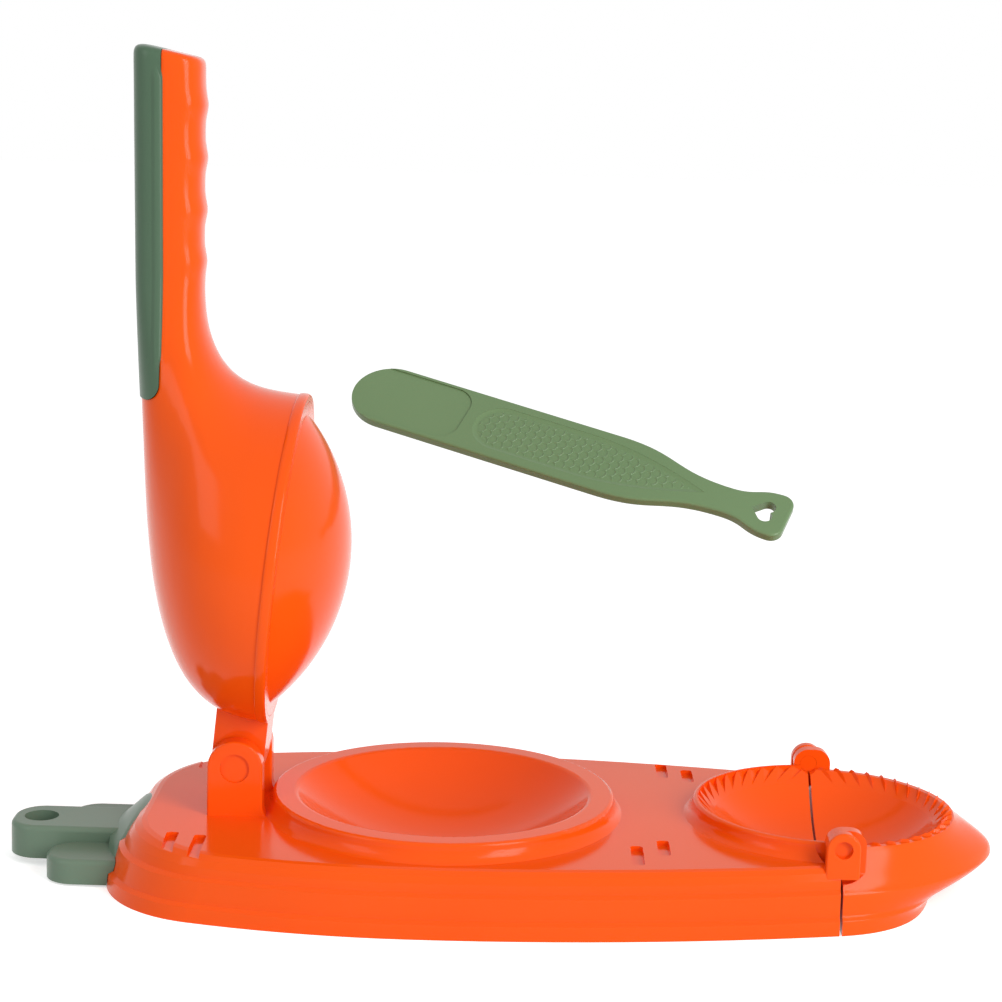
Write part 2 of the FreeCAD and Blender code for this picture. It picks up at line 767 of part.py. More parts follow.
def leaf_tail():
    root_x = left_end_x + collar_depth / 2
    collar = tray_blank().common(leaf_seat(0))
    middle = leaf_lobe(root_x, leaf_tip_x, 0, leaf_half_width, leaf_tip_radius, leaf_foot_z, leaf_top_z)
    side_tip = side_leaf_x - side_leaf_radius
    near = leaf_lobe(root_x, side_tip, -side_leaf_y, side_leaf_radius, side_leaf_radius - side_leaf_flat / 2,
                     side_leaf_foot_z, side_leaf_top_z)
    lobes = middle.fuse([near, mirrored_in_y(near)])
    tray_room = tray_blank()
    tray_room.translate(vector(-seat_gap, 0, 0))
    leaf = collar.fuse([lobes.common(leaf_seat(0)), lobes.cut(tray_room)])
    hole = Part.makeCylinder(leaf_hole_radius, 2 * leaf_top_z, vector(leaf_hole_x, 0, -leaf_top_z / 2))
    return leaf.cut(hole)


def between(start, end, share):
    return start + (end - start) * share


def handle_section(d, lift, inset):
    """A section of the handle, d along its front: a ridge lifts the front, the rounded end is drawn in."""
    share = (d - handle_root_d) / (handle_end_d - handle_end_slant - handle_root_d)
    front_h = between(handle_root_front_h, handle_front_h, share) - lift + inset
    back_d = between(handle_root_d - handle_root_slant, handle_end_d, share)
    back_h = between(handle_root_back_h, handle_back_h, share) - inset
    return (d, front_h), (back_d, back_h), handle_half_width - inset, handle_squareness


def arm_sections():
    """Fanned sections of the arm, from the lip to the handle's end.

    Each is the underside point, the back point (d, h), the half width and the squareness.
    """
    lip_front = lip_centre_d + lip_radius
    lip_back = lip_centre_d - lip_radius
    sections = []
    for front_d, front_h, back_d, back_h, narrower, squareness in hood_rows:
        sections.append(((lip_front + front_d, front_h), (lip_back + back_d, back_h), lip_radius - narrower, squareness))
    ridge_lift = grip_ridge_height * lone_point_gain
    last = (grip_ridge_count - 1) * grip_rows + 1
    for row in range(-1, last + 1):
        d = grip_first_d + row * grip_pitch / grip_rows
        sections.append(handle_section(d, 0 if row % grip_rows else ridge_lift, 0))
    end = handle_end_d - handle_end_slant
    sections.append(handle_section(end - handle_end_round, 0, 0))
    sections.append(handle_section(end, 0, 0))
    sections.append(handle_section(end, 0, handle_end_round))
    return sections


def control_pull(count):
    """How far outside a ring its control points stand, as a factor, so that the surface meets the ring."""
    return 3 / (2 + math.cos(2 * math.pi / count))


def section_poles(underside, back, half, squareness, shrink):
    """Control points of a closed superellipse through two points, drawn in by shrink."""
    low = vector(underside[0], 0, underside[1])
    high = vector(back[0], 0, back[1])
    centre = (low + high) * 0.5
    along = (high - low) * 0.5
    pull = control_pull(section_points)
    reach = (along.Length - shrink) * pull
    along.normalize()
    aside = (half - shrink) * pull
    points = []
    for number in range(section_points):
        angle = 2 * math.pi * number / section_points
        c, s = math.cos(angle), math.sin(angle)
        u = math.copysign(abs(c) ** (2 / squareness), c) * reach
        v = math.copysign(abs(s) ** (2 / squareness), s) * aside
        points.append(centre + along * u + vector(0, v, 0))
    return points


def skinned(rings):
    """A solid under one smooth surface over rings of control points, closed at both ends."""
    rows, around = len(rings), len(rings[0])
    surface = Part.BSplineSurface()
    surface.buildFromPolesMultsKnots(
        rings, [4] + [1] * (rows - 4) + [4], [1] * (around + 1),
        [float(knot) for knot in range(rows - 2)], [float(knot) for knot in range(around + 1)],
        False, True, 3, 3)
    face = surface.toShape()
    ends = [Part.Face(Part.Wire(edge)) for edge in face.Edges if edge.isClosed()]
    shell = Part.Shell([face] + ends)
    shell.sewShape()
    solid = Part.makeSolid(shell)
    if solid.Volume < 0:
        solid.reverse()
    return solid


def arm_skin(shrink):
    """The arm's outer form, drawn in by shrink."""
    return skinned([section_poles(*section, shrink) for section in arm_sections()])


def arm_core():
    """The hollow inside the hood and the handle, closed at the handle's end."""
    far = 2 * handle_end_d
    return arm_skin(arm_wall).common(box((-far, -far, -far), (handle_end_d - arm_end_wall, far, far)))


def cover_zone(gap):
    """Side view of the handle cover, run across the handle: a seam line and a rounded lower end."""
    start = cover_start_d - gap
    radius = cover_end_radius

    def seam(d):
        return cover_seam_h - gap + cover_seam_rise * (d - cover_start_d)

    bend = radius * quarter_bend
    top = 2 * handle_back_h
    end = 2 * handle_end_d
    edges = [arc_in_section((start, seam(start) + radius), (start + bend, seam(start) + bend),
                            (start + radius, seam(start + radius)))]
    edges += chain([(start + radius, seam(start + radius)), (end, seam(end)), (end, top), (start, top),
                    (start, seam(start) + radius)])
    return plate_across(Part.Wire(edges), -lip_radius, lip_radius)


def arm_neck():
    """The neck between the ears, round about the pin."""
    pin_h = arm_pin_z - dish_rim_z - lip_gap
    low, high = pin_h - neck_radius, pin_h + neck_radius
    edges = [arc_in_section((0, low), (-neck_radius, pin_h), (0, high))]
    edges += chain([(0, high), (neck_length, high), (neck_length, low), (0, low)])
    half = arm_ear_face_y - arm_ear_thickness - moving_gap
    return plate_across(Part.Wire(edges), -half, half)


def swung_open(shape):
    """Move a piece from the arm's own (d, h) to its place on the tray, with the arm open."""
    shape.translate(vector(arm_pin_x, 0, dish_rim_z + lip_gap))
    shape.rotate(vector(arm_pin_x, 0, arm_pin_z), vector(0, 1, 0), -arm_closing_angle)
    return shape


def press_arm():
    arm = arm_skin(0).cut(arm_core()).fuse(arm_neck())
    arm = arm.cut([dome_plug(seat_gap), cover_zone(seat_gap)])
    pin_h = arm_pin_z - dish_rim_z - lip_gap
    far = 2 * arm_ear_face_y
    arm = arm.cut(cylinder_across(0, pin_h, arm_pin_radius + pin_running_gap, -far, far))
    return swung_open(arm)


def handle_cover():
    cover = arm_skin(-cover_stand_out).common(cover_zone(0)).cut(arm_core())
    return swung_open(cover)


def dome_plug(grow):
    """The space that the dome and its collar take inside the hood."""
    radius = lip_radius - dome_seat_wall - seat_gap + grow
    return Part.makeCylinder(radius, dome_collar + 2 * grow, vector(lip_centre_d, 0, -grow))


def press_dome():
    """A convex pressing face with a collar that seats inside the hood's lip."""
    sphere_radius = (dome_radius ** 2 + dome_height ** 2) / (2 * dome_height)
    inner_radius = sphere_radius - dome_wall
    centre_h = sphere_radius - dome_height
    collar_radius = lip_radius - dome_seat_wall - seat_gap
    collar_inside = dome_radius - dome_wall

    def height(radius, reach):
        return centre_h - math.sqrt(radius ** 2 - reach ** 2)

    half = dome_radius / 2
    inner_reach = math.sqrt(inner_radius ** 2 - centre_h ** 2)
    half_in = inner_reach / 2
    edges = [arc_in_section((0, -dome_height), (half, height(sphere_radius, half)), (dome_radius, 0))]
    edges += chain([(dome_radius, 0), (collar_radius, 0), (collar_radius, dome_collar),
                    (collar_inside, dome_collar), (inner_reach, 0)])
    edges.append(arc_in_section((inner_reach, 0), (half_in, height(inner_radius, half_in)),
                                (0, dome_wall - dome_height)))
    edges += chain([(0, dome_wall - dome_height), (0, -dome_height)])
    return swung_open(turned_profile(lip_centre_d, edges))


def spatula_neck():
    """X of the narrowest place of the neck, and X where the blade's side starts to draw in to it."""
    neck_x = spatula_length - spatula_tail_length
    return neck_x, neck_x - spatula_waist_length


def spatula_outline():
    """Plan of the spatula: round blade, waisted neck and flared tail."""
    w, n, t = spatula_half_width, spatula_neck_half_width, spatula_tail_half_width
    end, corner = spatula_length, spatula_tail_round
    neck_x, waist_x = spatula_neck()
    run = (neck_x - waist_x) / 2
    flare = (end - corner - neck_x) / 2
    waist = Part.BezierCurve()
    waist.setPoles([vector(waist_x, w, 0), vector(waist_x + run, w, 0), vector(neck_x - run, n, 0), vector(neck_x, n, 0)])
    tail = Part.BezierCurve()
    tail.setPoles([vector(neck_x, n, 0), vector(neck_x + flare, n, 0),
                   vector(end - corner - flare, t, 0), vector(end - corner, t, 0)])
    bend = corner * quarter_bend
    round_end = Part.Arc(vector(end - corner, t, 0), vector(end - bend, t - bend, 0), vector(end, t - corner, 0))
    side = [Part.makeLine(vector(w, w, 0), vector(waist_x, w, 0)), waist.toShape(), tail.toShape(), round_end.toShape()]
    blade = Part.Arc(vector(w, -w, 0), vector(0, 0, 0), vector(w, w, 0)).toShape()
    butt = Part.makeLine(vector(end, t - corner, 0), vector(end, corner - t, 0))
    return Part.Wire(Part.__sortEdges__([blade, butt] + side + [mirrored_in_y(edge) for edge in side]))


def heart_hole():
    """A heart-shaped hole: two round lobes and, tangent to them, a point towards the blade."""
    depth = 3 * spatula_thickness
    low_z = -spatula_thickness
    radius, spread = heart_lobe_radius, heart_lobe_spread
    point_x = spatula_length - heart_from_end - heart_length / 2
    lobe_x = point_x + heart_length - radius
    lobes = [Part.makeCylinder(radius, depth, vector(lobe_x, side * spread, low_z)) for side in (-1, 1)]
    far = math.hypot(lobe_x - point_x, spread)
    touch = math.sqrt(far ** 2 - radius ** 2)
    angle = math.atan2(spread, lobe_x - point_x) + math.asin(radius / far)
    touch_x, touch_y = point_x + touch * math.cos(angle), touch * math.sin(angle)
    corners = [(point_x, 0), (touch_x, touch_y), (lobe_x, spread), (lobe_x, -spread), (touch_x, -touch_y), (point_x, 0)]
    point = Part.Face(Part.makePolygon([vector(x, y, low_z) for x, y in corners]))
    return lobes[0].fuse([lobes[1], point.extrude(vector(0, 0, depth))])


def spatula_recesses():
    """The blade's thin pad and the long sunken grip."""
    half = spatula_half_width - pad_edge
    pad = box((-spatula_half_width, -half, spatula_thickness - pad_depth), (pad_length, half, 2 * spatula_thickness))
    pad = pad.makeFillet(pad_corner_round, [edge for edge in pad.Edges if edge.BoundBox.XMin > pad_length - hair
                                            and edge.BoundBox.ZLength > spatula_thickness / 2])
    g = grip_recess_half_width
    neck_x, waist_x = spatula_neck()
    start, end = grip_recess_start, neck_x - grip_recess_margin
    taper = Part.BezierCurve()
    taper.setPoles([vector(waist_x - g, g, 0), vector(waist_x + g, g, 0), vector(end, 0, 0)])
    side = [Part.makeLine(vector(start + g, g, 0), vector(waist_x - g, g, 0)), taper.toShape()]
    head = Part.Arc(vector(start + g, -g, 0), vector(start, 0, 0), vector(start + g, g, 0)).toShape()
    wire = Part.Wire(Part.__sortEdges__([head] + side + [mirrored_in_y(edge) for edge in side]))
    wire.translate(vector(0, 0, spatula_thickness - grip_recess_depth))
    return [pad, Part.Face(wire).extrude(vector(0, 0, spatula_thickness))]


def spatula():
    body = Part.Face(spatula_outline()).extrude(vector(0, 0, spatula_thickness))
    rims = [edge for edge in body.Edges if edge.BoundBox.ZLength < hair]
    body = body.makeFillet(spatula_edge_round, rims)
    body = body.cut(spatula_recesses() + [heart_hole()])
    body.translate(vector(-spatula_length / 2, 0, -spatula_thickness / 2))
    body.rotate(vector(0, 0, 0), vector(0, 0, 1), -spatula_turn)
    body.rotate(vector(0, 0, 0), vector(1, 0, 0), 90 - spatula_tilt_back)
    body.translate(vector(*spatula_centre))
    return body


def build():
    front_pin = mould_hinge_pin()
    return {
        "base_shell": base_shell(),
        "leaf_tail": leaf_tail(),
        "press_arm": press_arm(),
        "press_dome": press_dome(),
        "handle_cover": handle_cover(),
        "arm_hinge_pin": arm_hinge_pin(),
        "mould_flap": mould_flap(),
        "mould_hinge_pin_front": front_pin,
        "mould_hinge_pin_rear": mirrored_in_y(front_pin),
        "spatula": spatula(),
    }


os.makedirs("parts", exist_ok=True)
for name, shape in build().items():
    shape = shape.removeSplitter()
    shape.exportStep("parts/" + name + ".step")
    print(name, len(shape.Solids), "solid", shape.isValid(), round(shape.Volume / 1000, 1), "cm3")
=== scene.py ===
import bpy
import numpy as np
from mathutils import Matrix, Vector
from mathutils.bvhtree import BVHTree


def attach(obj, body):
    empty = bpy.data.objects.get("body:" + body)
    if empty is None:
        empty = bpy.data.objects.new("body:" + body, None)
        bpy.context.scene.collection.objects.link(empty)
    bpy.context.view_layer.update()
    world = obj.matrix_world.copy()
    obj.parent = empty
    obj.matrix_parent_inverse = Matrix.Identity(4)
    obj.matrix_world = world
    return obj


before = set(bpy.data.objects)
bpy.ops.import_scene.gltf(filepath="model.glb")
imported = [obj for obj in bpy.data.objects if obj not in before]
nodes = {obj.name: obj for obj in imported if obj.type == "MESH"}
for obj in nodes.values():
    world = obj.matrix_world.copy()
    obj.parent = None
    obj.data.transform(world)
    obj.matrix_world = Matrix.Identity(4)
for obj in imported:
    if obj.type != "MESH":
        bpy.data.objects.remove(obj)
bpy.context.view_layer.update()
mm_per_metre = 1000

# Camera of the photograph, in metres and degrees, with its lens and sensor in millimetres
camera_eye = (0.02126, -0.71507, 0.25)
camera_yaw = -0.430
camera_pitch = 10.201
camera_roll = 1.633
camera_lens = 82.635
camera_sensor = 36.0

# Studio: the white room's strength as light and where it is seen, and the floor's lift where it is seen
white = (1.0, 1.0, 1.0, 1.0)
floor_grey = (0.9, 0.9, 0.9, 1.0)
floor_reach = 6.0
floor_lift = 0.58
room_light = 0.50
room_seen = 1.0

# Lamps: place, target, width and height in metres, watts
key_lamp = ((1.0, -1.0, 0.70), (0.02, 0.0, 0.12), (0.6, 1.2), 17.5)
window_lamp = ((-1.0, -0.65, 0.75), (-0.06, 0.0, 0.12), (0.45, 0.8), 2.5)

# Finishes: two linear colours that drift into each other, roughness, refractive index, grain
orange_finish = ((0.93, 0.104, 0.005), (0.88, 0.086, 0.004), 0.15, 1.24, 0.02)
cover_finish = ((0.088, 0.152, 0.095), (0.074, 0.134, 0.081), 0.30, 1.27, 0.04)
# Painted light: the leaf is the cover's sage plastic, with its colours painted lighter where more light falls
# on it
leaf_painted_lighter_finish = ((0.155, 0.228, 0.163), (0.134, 0.204, 0.142), 0.32, 1.30, 0.04)
spatula_finish = ((0.157, 0.250, 0.114), (0.133, 0.222, 0.096), 0.30, 1.38, 0.04)

# Noise in every finish, as scale and detail, and how far it moves the roughness and, in metres, the height
drift_noise = (14.0, 3.0)
patch_noise = (60.0, 4.0)
grain_noise = (2600.0, 2.0)
noise_middle = 0.5
patch_dullness = 0.08
grain_depth = 0.0001

# Spatula, in millimetres and degrees, as in the solid, with x along it from the blade's tip
spatula_length = 164.5
spatula_thickness = 3.6
spatula_waist_x = 98.0
spatula_centre = (37.7, 88.0, 123.5)
spatula_tilt_back = 53.6
spatula_turn = 21.5
grip_start = 47.0
grip_end = 134.0
grip_half_width = 10.6
grip_depth = 0.6
grip_lean_step = 0.05

# Fish scales in the spatula's grip, and the soft slope around them, in millimetres
scale_pitch = 2.95
scale_width = 3.75
scale_radius = 2.2
scale_line_height = 0.40
scale_line_width = 0.42
scale_swell = 0.12
scale_border = 1.7
scale_fade = 0.7
slope_width = 2.4
sheet_lift = 0.03
sheet_inset = 0.04
sheet_rows = 520
sheet_columns = 150

# Seam of the handle and its cover, in millimetres, with its two ends as x and z
seam_foot = (-89.65, 161.0)
seam_top = (-90.11, 254.5)
seam_run_out = 5.0
seam_rows = 90
seam_sink = 0.03

# Rolled edge of the cover, in millimetres, counted across the seam towards the finger ridges
edge_start = -3.2
edge_crest = -1.6
edge_end = 0.55
edge_height = 0.45
edge_tuck = 3.0
edge_rising_columns = 8
edge_falling_columns = 14
cover_stand_out = 0.7
cover_last = -0.2

# Lip of the handle, in millimetres, counted in the same way
lip_start = 0.3
lip_flat = 1.2
lip_end = 3.4
lip_height = 0.06
lip_columns = 12

# Rolled rim around the hood's mouth, in millimetres and degrees, placed on the closed arm
arm_pin_x = -65.6
arm_pin_z = 36.0
arm_open_angle = 84.4
mouth_z = 27.2
mouth_centre_d = 65.9
mouth_radius = 52.2
rim_middle = 1.75
rim_half_width = 1.65
rim_height = 0.55
rim_sink = 0.35
rim_rows = 241
rim_columns = 17

# Collar of the leaf, in millimetres and degrees, with the half width and rise of its outer and inner arch
collar_foot_z = 3.0
collar_outer = (27.0, 17.2)
collar_inner = (20.0, 9.6)
collar_span = 88.0
collar_proud = 0.5
collar_flare = 4.5
collar_rows = 89
collar_columns = 12

# End of the tray under the collar, in millimetres: its x at each z, and how far it falls back at each y
tray_end_z = (3.0, 8.0, 11.0, 13.5, 15.0, 16.5, 17.5, 18.5, 19.5, 20.0, 20.4)
tray_end_x = (-105.3, -102.7, -101.8, -99.8, -98.9, -98.1, -97.4, -96.6, -95.2, -94.0, -92.6)
tray_fall_y = (0.0, 20.0, 24.0, 27.0, 30.0)
tray_fall_x = (0.0, 0.1, 0.5, 1.2, 2.1)


class Sock:
    """A node socket that takes part in Python expressions: each operator adds one Math node."""

    def __init__(self, tree, socket):
        self.tree = tree
        self.socket = socket

    def math(self, operation, *others):
        return self.tree.node("ShaderNodeMath", {"operation": operation}, [self, *others])["Value"]

    def __add__(self, other):
        return self.math("ADD", other)

    def __sub__(self, other):
        return self.math("SUBTRACT", other)

    def __mul__(self, other):
        return self.math("MULTIPLY", other)

    __radd__ = __add__
    __rmul__ = __mul__


class Shading:
    """The nodes of one material or of the world."""

    def __init__(self, tree):
        self.nodes = tree.nodes
        self.links = tree.links
        self.nodes.clear()

    def node(self, kind, settings=None, sockets=()):
        """Add a node, set its settings first, then its sockets' values or links; give its outputs by name."""
        made = self.nodes.new(kind)
        for key, value in (settings or {}).items():
            setattr(made, key, value)
        pairs = sockets.items() if isinstance(sockets, dict) else enumerate(sockets)
        for key, value in pairs:
            target = made.inputs[key]
            if isinstance(value, Sock):
                self.links.new(value.socket, target)
            else:
                target.default_value = value
        return {out.name: Sock(self, out) for out in made.outputs if out.enabled}

    def noise(self, where, scale, detail):
        return self.node("ShaderNodeTexNoise", None,
                         {"Vector": where, "Scale": scale, "Detail": detail})["Fac"]

    def blend(self, share, first, second):
        """The colour between two colours at a share."""
        made = self.nodes.new("ShaderNodeMix")
        made.data_type = "RGBA"
        self.links.new(share.socket, made.inputs[0])
        ends = [socket for socket in made.inputs if socket.type == "RGBA"]
        for target, colour in zip(ends, (first, second)):
            target.default_value = (*colour, 1.0)
        return Sock(self, [out for out in made.outputs if out.type == "RGBA"][0])

    def seen_directly(self):
        """One for rays that show the background: straight, mirrored or through glass."""
        path = self.node("ShaderNodeLightPath")
        mirrored = path["Is Camera Ray"].math("MAXIMUM", path["Is Glossy Ray"])
        return mirrored.math("MAXIMUM", path["Is Transmission Ray"])

    def shown_as(self, hidden, shown):
        """The second shader where it is seen directly, the first one as light."""
        return self.node("ShaderNodeMixShader", None, [self.seen_directly(), hidden, shown])["Shader"]


def new_material(name):
    material = bpy.data.materials.new(name)
    material.use_nodes = True
    return material, Shading(material.node_tree)


def moulded_plastic(name, body, deep, roughness, gloss_index, grain):
    """Moulded plastic: slow colour drift, a little dullness in patches and a fine moulding grain."""
    material, shading = new_material(name)
    where = shading.node("ShaderNodeTexCoord")["Object"]
    drift = shading.noise(where, *drift_noise)
    patches = shading.noise(where, *patch_noise)
    fine = shading.noise(where, *grain_noise)
    bump = shading.node("ShaderNodeBump", None, {
        "Strength": grain,
        "Distance": grain_depth,
        "Height": fine,
    })["Normal"]
    shader = shading.node("ShaderNodeBsdfPrincipled", None, {
        "Base Color": shading.blend(drift, body, deep),
        "Roughness": roughness + patch_dullness * (patches - noise_middle),
        "IOR": gloss_index,
        "Normal": bump,
    })["BSDF"]
    shading.node("ShaderNodeOutputMaterial", None, {"Surface": shader})
    return material


def floor_finish():
    """Pale floor that takes the object's shadow and is lifted to white where it is seen."""
    material, shading = new_material("studio_floor")
    pale = shading.node("ShaderNodeBsdfDiffuse", None, {"Color": floor_grey})["BSDF"]
    lift = shading.node("ShaderNodeEmission", None, {"Color": white, "Strength": floor_lift})["Emission"]
    lifted = shading.node("ShaderNodeAddShader", None, [pale, lift])["Shader"]
    shading.node("ShaderNodeOutputMaterial", None, {"Surface": shading.shown_as(pale, lifted)})
    return material


def paint(material, *names):
    """Give each named node this material alone."""
    for name in names:
        slots = nodes[name].data.materials
        slots.clear()
        slots.append(material)


def add_camera():
    """The photograph's camera, from its eye point and its three angles."""
    yaw, pitch, roll = np.radians([camera_yaw, camera_pitch, camera_roll])
    forward = Vector((np.sin(yaw) * np.cos(pitch), np.cos(yaw) * np.cos(pitch), -np.sin(pitch)))
    level = Vector((np.cos(yaw), -np.sin(yaw), 0.0))
    over = level.cross(forward)
    right = level * np.cos(roll) + over * np.sin(roll)
    up = over * np.cos(roll) - level * np.sin(roll)
    place = Matrix((right, up, -forward)).transposed().to_4x4()
    place.translation = Vector(camera_eye)
    data = bpy.data.cameras.new("photo_camera")
    data.lens = camera_lens
    data.sensor_width = camera_sensor
    camera = bpy.data.objects.new("photo_camera", data)
    camera.matrix_world = place
    bpy.context.scene.collection.objects.link(camera)
    bpy.context.scene.camera = camera


def add_floor():
    """A wide flat floor at the table's height."""
    corners = [(-1, -1), (1, -1), (1, 1), (-1, 1)]
    mesh = bpy.data.meshes.new("studio_floor")
    mesh.from_pydata([(x * floor_reach, y * floor_reach, 0) for x, y in corners], [], [(0, 1, 2, 3)])
    mesh.materials.append(floor_finish())
    floor = bpy.data.objects.new("studio_floor", mesh)
    bpy.context.scene.collection.objects.link(floor)


def add_lamp(name, eye, target, size, power):
    """A soft rectangular lamp that faces its target."""
    data = bpy.data.lights.new(name, "AREA")
    data.shape = "RECTANGLE"
    data.size, data.size_y = size
    data.energy = power
    lamp = bpy.data.objects.new(name, data)
    lamp.location = eye
    lamp.rotation_euler = (Vector(target) - Vector(eye)).to_track_quat("-Z", "Y").to_euler()
    bpy.context.scene.collection.objects.link(lamp)


def add_world():
    """A plain room: white where it is seen, softer as light."""
    world = bpy.data.worlds.new("studio")
    world.use_nodes = True
    bpy.context.scene.world = world
    shading = Shading(world.node_tree)
    soft, bright = [
        shading.node("ShaderNodeBackground", None, {"Color": white, "Strength": strength})["Background"]
        for strength in (room_light, room_seen)
    ]
    shading.node("ShaderNodeOutputWorld", None, {"Surface": shading.shown_as(soft, bright)})


def add_sheet(name, points, material, body):
    """A smooth sheet over a grid of points, row by row, that moves with a body.

    It faces the way of (along the rows) x (along the columns).
    """
    rows, columns = points.shape[:2]
    number = np.arange(rows * columns).reshape(rows, columns)
    corners = [number[:-1, :-1], number[1:, :-1], number[1:, 1:], number[:-1, 1:]]
    faces = np.stack(corners, axis=-1).reshape(-1, 4)
    mesh = bpy.data.meshes.new(name)
    mesh.from_pydata(points.reshape(-1, 3).tolist(), [], faces.tolist())
    mesh.polygons.foreach_set("use_smooth", np.ones(len(faces), dtype=bool))
    mesh.materials.append(material)
    sheet = bpy.data.objects.new(name, mesh)
    bpy.context.scene.collection.objects.link(sheet)
    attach(sheet, body)


def on_spatula(x, y, height):
    """Points of the flat spatula, x from the blade's tip, moved to where the spatula hangs, in metres."""
    flat = np.stack([x - spatula_length / 2, y, height - spatula_thickness / 2], axis=-1)
    turn = Matrix.Rotation(-np.radians(spatula_turn), 3, "Z")
    tilt = Matrix.Rotation(np.radians(90 - spatula_tilt_back), 3, "X")
    return (flat @ np.array(tilt @ turn).T + np.array(spatula_centre)) / mm_per_metre


def grip_reach(x):
    """Half width of the sunken grip at x: a round head, straight sides and a tapered tail.

    The tail is the curve with control points (w - g, g), (w + g, g), (end, 0) for the waist w and the
    half width g. Its parameter t at x solves a * t^2 + b * t + c = 0.
    """
    g, waist = grip_half_width, spatula_waist_x
    head = np.sqrt(np.clip(g ** 2 - (grip_start + g - x) ** 2, 0, None))
    first, middle, last = waist - g, waist + g, grip_end
    a, b, c = first - 2 * middle + last, 2 * (middle - first), first - x
    t = np.clip((-b + np.sqrt(np.clip(b ** 2 - 4 * a * c, 0, None))) / (2 * a), 0, 1)
    tail = g * ((1 - t) ** 2 + 2 * t * (1 - t))
    return np.where(x < grip_start + g, head, np.where(x < first, g, tail))


def grip_wall_gap(x, y):
    """How far x, y in the grip lies from its outline: from the round head, or square to the sides."""
    rise = grip_reach(x + grip_lean_step) - grip_reach(x - grip_lean_step)
    lean = rise / (2 * grip_lean_step)
    beside = (grip_reach(x) - np.abs(y)) / np.sqrt(1 + lean ** 2)
    head_middle = grip_start + grip_half_width
    ahead = grip_half_width - np.hypot(x - head_middle, y)
    return np.where(x < head_middle, ahead, beside)


def scale_relief(x, y):
    """Height of the fish scales at x, y.

    Scales are discs of radius r on a staggered grid, and each row lies over the one nearer the tail.
    On the topmost disc, at distance d from its middle, the height is
    line * exp(-((r - d) / width)^2) + swell * (1 - (d / r)^2).
    """
    height = np.zeros_like(x)
    rows = np.arange(int(grip_end / scale_pitch) + 1, int(grip_start / scale_pitch) - 2, -1)
    for row in rows:
        shift = scale_width / 2 * (row % 2)
        middle = np.round((y - shift) / scale_width) * scale_width + shift
        d = np.hypot(x - row * scale_pitch, y - middle)
        line = scale_line_height * np.exp(-((scale_radius - d) / scale_line_width) ** 2)
        height = np.where(d < scale_radius, line + scale_swell * (1 - (d / scale_radius) ** 2), height)
    return height


def add_fish_scales(material):
    """The floor of the spatula's grip with its scales, as one sheet just inside the grip's outline.

    x runs along the grip and y = s * (reach(x) - inset) across it for s from -1 to 1. At the gap e from
    the outline the sheet rises by (depth - 2 * lift) * (1 - e / slope_width)^2 towards the grip's edge,
    and the scales fade in over scale_fade from scale_border on.
    """
    along = np.linspace(grip_start + sheet_inset, grip_end - sheet_inset, sheet_rows)
    across = np.linspace(-1, 1, sheet_columns)
    x, s = np.meshgrid(along, across, indexing="ij")
    y = s * np.maximum(grip_reach(x) - sheet_inset, sheet_inset)
    gap = grip_wall_gap(x, y)
    slope = (grip_depth - 2 * sheet_lift) * np.clip(1 - gap / slope_width, 0, 1) ** 2
    scales = scale_relief(x, y) * np.clip((gap - scale_border) / scale_fade, 0, 1)
    points = on_spatula(x, y, spatula_thickness - grip_depth + sheet_lift + slope + scales)
    add_sheet("grip_scales", points, material, "loose_spatula")


def side_of(name, x, z, side):
    """The y of a solid's outer side at each x, z.

    Rays along y meet it there, from one metre in front (side -1) or from one metre behind (side 1).
    """
    solid = nodes[name]
    corners = [solid.matrix_world @ vertex.co for vertex in solid.data.vertices]
    tree = BVHTree.FromPolygons(corners, [face.vertices for face in solid.data.polygons])
    starts = [Vector((a / mm_per_metre, side, b / mm_per_metre)) for a, b in zip(x.ravel(), z.ravel())]
    met = [tree.ray_cast(start, Vector((0, -side, 0)))[0].y for start in starts]
    return np.reshape(met, x.shape) * mm_per_metre


def smooth_step(t):
    """0 up to t = 0, 1 from t = 1 on, and 3 * t^2 - 2 * t^3 between."""
    t = np.clip(t, 0, 1)
    return t * t * (3 - 2 * t)


def seam_strip(name, places, solid, last, rise, material, side):
    """A strip along the seam on one side of the handle.

    z runs up the seam and u across it, and y = side_of(solid) + side * rise(u, k), where k fades from 1 to 0
    at the seam's ends. The solid's side is read at u as far as the last place, and kept from there on.
    """
    z, u = np.meshgrid(np.linspace(seam_foot[1], seam_top[1], seam_rows), places, indexing="ij")
    seam_x = np.interp(z, [seam_foot[1], seam_top[1]], [seam_foot[0], seam_top[0]])
    ends = smooth_step(np.minimum(z - seam_foot[1], seam_top[1] - z) / seam_run_out)
    y = side_of(solid, seam_x + np.minimum(u, last), z, side) + side * rise(u, ends)
    points = np.stack([seam_x + u, y, z], axis=-1) / mm_per_metre
    add_sheet(name, points if side > 0 else points[:, ::-1], material, "arm")


def edge_rise(u, ends):
    """Rolled edge of the cover: a smooth step up to the crest c, then a quarter ellipse down to the handle.

    Past the crest, for t from 0 to 1, the rise is c - (c + fall) * (1 - sqrt(1 - t^2)), and the fall
    grows at the seam's ends, where the edge tucks itself under.
    """
    crest = edge_height * ends - seam_sink
    up = (crest + seam_sink) * smooth_step((u - edge_start) / (edge_crest - edge_start)) - seam_sink
    t = np.clip((u - edge_crest) / (edge_end - edge_crest), 0, 1)
    fall = cover_stand_out + edge_tuck * (1 - ends)
    down = crest - (crest + fall) * (1 - np.sqrt(1 - t * t))
    return np.where(u < edge_crest, up, down)


def lip_rise(u, ends):
    """Lip of the handle: flat beside the seam, then a slow smooth step into the handle's side."""
    flat = 1 - smooth_step((u - lip_flat) / (lip_end - lip_flat))
    return (lip_height + seam_sink) * flat * ends - seam_sink


